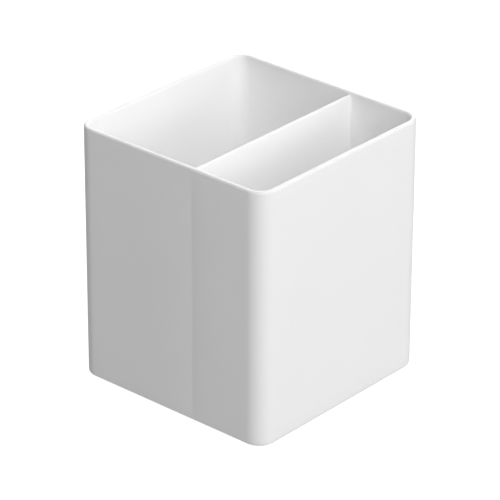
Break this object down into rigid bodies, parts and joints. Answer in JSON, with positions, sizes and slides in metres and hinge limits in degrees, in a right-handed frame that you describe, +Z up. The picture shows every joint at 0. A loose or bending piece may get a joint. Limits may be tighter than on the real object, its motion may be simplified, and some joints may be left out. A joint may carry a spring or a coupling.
{
  "type": "pen holder cup",
  "caption": "Open square desk cup with rounded corners and a fixed upright divider that splits it into a wide and a narrow compartment, standing on small round feet.",
  "frame": {"origin": "on the desk under the feet, at the middle of the square plan", "axes": "+Z up through the open mouth; +X towards the narrow compartment; -Y is the front"},
  "size_m": [0.0888, 0.0888, 0.1016],
  "materials": {
    "white_plastic": "satin white moulded plastic",
    "foot_rubber": "matte grey non-slip rubber"
  },
  "bodies": {
    "root": {"cup_shell": "white_plastic", "divider": "white_plastic", "foot_front_left": "foot_rubber", "foot_front_right": "foot_rubber", "foot_back_left": "foot_rubber", "foot_back_right": "foot_rubber"}
  },
  "joints": []
}
